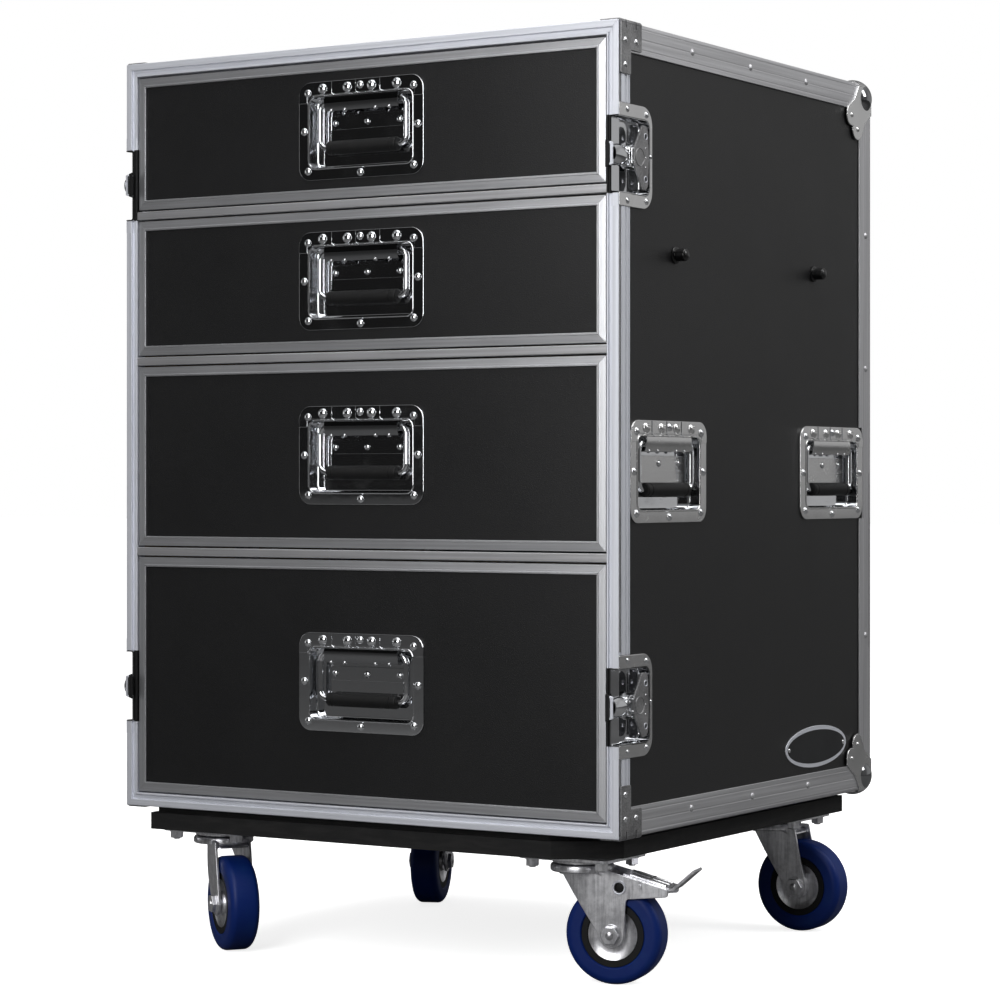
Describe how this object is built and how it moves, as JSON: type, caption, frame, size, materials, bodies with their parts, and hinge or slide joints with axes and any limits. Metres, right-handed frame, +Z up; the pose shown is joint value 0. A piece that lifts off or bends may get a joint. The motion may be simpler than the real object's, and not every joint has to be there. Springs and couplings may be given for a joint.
{
  "type": "road case with drawers",
  "caption": "Upright road case on swivel casters, with stacked drawers on slides, recessed spring handles, side latches for a front lid and aluminium edging.",
  "frame": {"origin": "on the floor under the middle of the whole object's box", "axes": "+Z up, -Y towards the drawer fronts, +X towards the right-hand side as seen from the front"},
  "size_m": [0.6643, 0.5806, 0.951],
  "materials": {
    "black_laminate": "plywood faced with matt black, finely textured laminate",
    "drawer_plywood": "matt black laminate outside, birch plywood inside",
    "black_board": "plywood painted matt black",
    "aluminium_edging": "natural satin aluminium with fine lengthwise lines",
    "chrome_plate": "bright plated pressed steel",
    "zinc_steel": "zinc plated pressed steel",
    "blue_tread": "solid dark blue tread on a black core"
  },
  "bodies": {
    "case": {"edge_frame": "aluminium_edging", "front_rim": "aluminium_edging", "back_panel": "black_laminate", "top_panel": "black_laminate", "bottom_panel": "black_laminate", "caster_board": "black_board", "right_side_panel": "black_laminate", "right_slide_rack": "zinc_steel", "right_front_handle_dish": "chrome_plate", "right_back_handle_dish": "chrome_plate", "left_side_panel": "black_laminate", "left_slide_rack": "zinc_steel", "left_front_handle_dish": "chrome_plate", "left_back_handle_dish": "chrome_plate", "right_top_latch_dish": "chrome_plate", "right_bottom_latch_dish": "chrome_plate", "left_top_latch_dish": "chrome_plate", "left_bottom_latch_dish": "chrome_plate"},
    "right_front_handle": {"right_front_handle_bail": "chrome_plate"},
    "right_back_handle": {"right_back_handle_bail": "chrome_plate"},
    "left_front_handle": {"left_front_handle_bail": "chrome_plate"},
    "left_back_handle": {"left_back_handle_bail": "chrome_plate"},
    "drawer_1": {"drawer_1_box": "drawer_plywood", "drawer_1_trim": "aluminium_edging", "drawer_1_handle_dish": "chrome_plate"},
    "drawer_1_handle": {"drawer_1_handle_bail": "chrome_plate"},
    "drawer_2": {"drawer_2_box": "drawer_plywood", "drawer_2_trim": "aluminium_edging", "drawer_2_handle_dish": "chrome_plate"},
    "drawer_2_handle": {"drawer_2_handle_bail": "chrome_plate"},
    "drawer_3": {"drawer_3_box": "drawer_plywood", "drawer_3_trim": "aluminium_edging", "drawer_3_handle_dish": "chrome_plate"},
    "drawer_3_handle": {"drawer_3_handle_bail": "chrome_plate"},
    "drawer_4": {"drawer_4_box": "drawer_plywood", "drawer_4_trim": "aluminium_edging", "drawer_4_handle_dish": "chrome_plate"},
    "drawer_4_handle": {"drawer_4_handle_bail": "chrome_plate"},
    "right_top_latch_drum": {"right_top_latch_drum": "chrome_plate"},
    "right_top_latch_wing": {"right_top_latch_wing": "chrome_plate"},
    "right_top_latch_hook": {"right_top_latch_hook": "chrome_plate"},
    "right_bottom_latch_drum": {"right_bottom_latch_drum": "chrome_plate"},
    "right_bottom_latch_wing": {"right_bottom_latch_wing": "chrome_plate"},
    "right_bottom_latch_hook": {"right_bottom_latch_hook": "chrome_plate"},
    "left_top_latch_drum": {"left_top_latch_drum": "chrome_plate"},
    "left_top_latch_wing": {"left_top_latch_wing": "chrome_plate"},
    "left_top_latch_hook": {"left_top_latch_hook": "chrome_plate"},
    "left_bottom_latch_drum": {"left_bottom_latch_drum": "chrome_plate"},
    "left_bottom_latch_wing": {"left_bottom_latch_wing": "chrome_plate"},
    "left_bottom_latch_hook": {"left_bottom_latch_hook": "chrome_plate"},
    "front_right_caster": {"front_right_fork": "zinc_steel"},
    "front_right_wheel": {"front_right_wheel": "blue_tread"},
    "front_right_pedal": {"front_right_pedal": "zinc_steel"},
    "front_left_caster": {"front_left_fork": "zinc_steel"},
    "front_left_wheel": {"front_left_wheel": "blue_tread"},
    "back_right_caster": {"back_right_fork": "zinc_steel"},
    "back_right_wheel": {"back_right_wheel": "blue_tread"},
    "back_left_caster": {"back_left_fork": "zinc_steel"},
    "back_left_wheel": {"back_left_wheel": "blue_tread"},
    "back_left_pedal": {"back_left_pedal": "zinc_steel"}
  },
  "joints": [
    {"name": "right_front_handle_lift", "type": "hinge", "parent": "case", "child": "right_front_handle", "pos_m": [0.28714, -0.1837, 0.538], "axis": [0, -1, 0], "range_deg": [0, 90], "stiffness_Nm_per_rad": 0.05},
    {"name": "right_back_handle_lift", "type": "hinge", "parent": "case", "child": "right_back_handle", "pos_m": [0.28714, 0.1853, 0.538], "axis": [0, -1, 0], "range_deg": [0, 90], "stiffness_Nm_per_rad": 0.05},
    {"name": "left_front_handle_lift", "type": "hinge", "parent": "case", "child": "left_front_handle", "pos_m": [-0.31246, -0.1837, 0.538], "axis": [0, 1, 0], "range_deg": [0, 90], "stiffness_Nm_per_rad": 0.05},
    {"name": "left_back_handle_lift", "type": "hinge", "parent": "case", "child": "left_back_handle", "pos_m": [-0.31246, 0.1853, 0.538], "axis": [0, 1, 0], "range_deg": [0, 90], "stiffness_Nm_per_rad": 0.05},
    {"name": "drawer_1_slide", "type": "slide", "parent": "case", "child": "drawer_1", "axis": [0, -1, 0], "range_m": [0, 0.4]},
    {"name": "drawer_1_handle_lift", "type": "hinge", "parent": "drawer_1", "child": "drawer_1_handle", "pos_m": [-0.01266, -0.2781, 0.889], "axis": [-1, 0, 0], "range_deg": [0, 90], "stiffness_Nm_per_rad": 0.05},
    {"name": "drawer_2_slide", "type": "slide", "parent": "case", "child": "drawer_2", "axis": [0, -1, 0], "range_m": [0, 0.4]},
    {"name": "drawer_2_handle_lift", "type": "hinge", "parent": "drawer_2", "child": "drawer_2_handle", "pos_m": [-0.01266, -0.2781, 0.73465], "axis": [-1, 0, 0], "range_deg": [0, 90], "stiffness_Nm_per_rad": 0.05},
    {"name": "drawer_3_slide", "type": "slide", "parent": "case", "child": "drawer_3", "axis": [0, -1, 0], "range_m": [0, 0.4]},
    {"name": "drawer_3_handle_lift", "type": "hinge", "parent": "drawer_3", "child": "drawer_3_handle", "pos_m": [-0.01266, -0.2781, 0.5553], "axis": [-1, 0, 0], "range_deg": [0, 90], "stiffness_Nm_per_rad": 0.05},
    {"name": "drawer_4_slide", "type": "slide", "parent": "case", "child": "drawer_4", "axis": [0, -1, 0], "range_m": [0, 0.4]},
    {"name": "drawer_4_handle_lift", "type": "hinge", "parent": "drawer_4", "child": "drawer_4_handle", "pos_m": [-0.01266, -0.2781, 0.3225], "axis": [-1, 0, 0], "range_deg": [0, 90], "stiffness_Nm_per_rad": 0.05},
    {"name": "right_top_latch_turn", "type": "hinge", "parent": "case", "child": "right_top_latch_drum", "pos_m": [0.29234, -0.2547, 0.816], "axis": [1, 0, 0], "range_deg": [0, 180]},
    {"name": "right_top_latch_fold", "type": "hinge", "parent": "right_top_latch_drum", "child": "right_top_latch_wing", "pos_m": [0.29214, -0.2577, 0.816], "axis": [0, 0, -1], "range_deg": [0, 90]},
    {"name": "right_top_latch_pull", "type": "slide", "parent": "case", "child": "right_top_latch_hook", "axis": [0, -1, 0], "range_m": [0, 0.008]},
    {"name": "right_bottom_latch_turn", "type": "hinge", "parent": "case", "child": "right_bottom_latch_drum", "pos_m": [0.29234, -0.2547, 0.28], "axis": [1, 0, 0], "range_deg": [0, 180]},
    {"name": "right_bottom_latch_fold", "type": "hinge", "parent": "right_bottom_latch_drum", "child": "right_bottom_latch_wing", "pos_m": [0.29214, -0.2577, 0.28], "axis": [0, 0, -1], "range_deg": [0, 90]},
    {"name": "right_bottom_latch_pull", "type": "slide", "parent": "case", "child": "right_bottom_latch_hook", "axis": [0, -1, 0], "range_m": [0, 0.008]},
    {"name": "left_top_latch_turn", "type": "hinge", "parent": "case", "child": "left_top_latch_drum", "pos_m": [-0.31766, -0.2547, 0.816], "axis": [-1, 0, 0], "range_deg": [0, 180]},
    {"name": "left_top_latch_fold", "type": "hinge", "parent": "left_top_latch_drum", "child": "left_top_latch_wing", "pos_m": [-0.31746, -0.2577, 0.816], "axis": [0, 0, 1], "range_deg": [0, 90]},
    {"name": "left_top_latch_pull", "type": "slide", "parent": "case", "child": "left_top_latch_hook", "axis": [0, -1, 0], "range_m": [0, 0.008]},
    {"name": "left_bottom_latch_turn", "type": "hinge", "parent": "case", "child": "left_bottom_latch_drum", "pos_m": [-0.31766, -0.2547, 0.28], "axis": [-1, 0, 0], "range_deg": [0, 180]},
    {"name": "left_bottom_latch_fold", "type": "hinge", "parent": "left_bottom_latch_drum", "child": "left_bottom_latch_wing", "pos_m": [-0.31746, -0.2577, 0.28], "axis": [0, 0, 1], "range_deg": [0, 90]},
    {"name": "left_bottom_latch_pull", "type": "slide", "parent": "case", "child": "left_bottom_latch_hook", "axis": [0, -1, 0], "range_m": [0, 0.008]},
    {"name": "front_right_swivel", "type": "hinge", "parent": "case", "child": "front_right_caster", "pos_m": [0.21234, -0.2187, 0.119], "axis": [0, 0, 1], "continuous": true},
    {"name": "front_right_spin", "type": "hinge", "parent": "front_right_caster", "child": "front_right_wheel", "pos_m": [0.24803, -0.21105, 0.05], "axis": [-0.2096, 0.9778, 0], "continuous": true},
    {"name": "front_right_press", "type": "hinge", "parent": "front_right_caster", "child": "front_right_pedal", "pos_m": [0.27688, -0.20486, 0.099], "axis": [-0.2096, 0.9778, 0], "range_deg": [0, 12], "stiffness_Nm_per_rad": 3, "springref_deg": -2.86},
    {"name": "front_left_swivel", "type": "hinge", "parent": "case", "child": "front_left_caster", "pos_m": [-0.23766, -0.2187, 0.119], "axis": [0, 0, 1], "continuous": true},
    {"name": "front_left_spin", "type": "hinge", "parent": "front_left_caster", "child": "front_left_wheel", "pos_m": [-0.20813, -0.24015, 0.05], "axis": [0.5878, 0.809, 0], "continuous": true},
    {"name": "back_right_swivel", "type": "hinge", "parent": "case", "child": "back_right_caster", "pos_m": [0.21234, 0.1993, 0.119], "axis": [0, 0, 1], "continuous": true},
    {"name": "back_right_spin", "type": "hinge", "parent": "back_right_caster", "child": "back_right_wheel", "pos_m": [0.24884, 0.20006, 0.05], "axis": [-0.0209, 0.9998, 0], "continuous": true},
    {"name": "back_left_swivel", "type": "hinge", "parent": "case", "child": "back_left_caster", "pos_m": [-0.23766, 0.1993, 0.119], "axis": [0, 0, 1], "continuous": true},
    {"name": "back_left_spin", "type": "hinge", "parent": "back_left_caster", "child": "back_left_wheel", "pos_m": [-0.22446, 0.16527, 0.05], "axis": [0.9323, 0.3616, 0], "continuous": true},
    {"name": "back_left_press", "type": "hinge", "parent": "back_left_caster", "child": "back_left_pedal", "pos_m": [-0.21379, 0.13777, 0.099], "axis": [0.9323, 0.3616, 0], "range_deg": [0, 12], "stiffness_Nm_per_rad": 3, "springref_deg": -2.86}
  ],
  "couplings": [
    {"joint": "right_top_latch_fold", "follows": "right_top_latch_turn", "ratio": 0.5},
    {"joint": "right_top_latch_pull", "follows": "right_top_latch_turn", "m_per_rad": 0.0025465},
    {"joint": "right_bottom_latch_fold", "follows": "right_bottom_latch_turn", "ratio": 0.5},
    {"joint": "right_bottom_latch_pull", "follows": "right_bottom_latch_turn", "m_per_rad": 0.0025465},
    {"joint": "left_top_latch_fold", "follows": "left_top_latch_turn", "ratio": 0.5},
    {"joint": "left_top_latch_pull", "follows": "left_top_latch_turn", "m_per_rad": 0.0025465},
    {"joint": "left_bottom_latch_fold", "follows": "left_bottom_latch_turn", "ratio": 0.5},
    {"joint": "left_bottom_latch_pull", "follows": "left_bottom_latch_turn", "m_per_rad": 0.0025465}
  ]
}
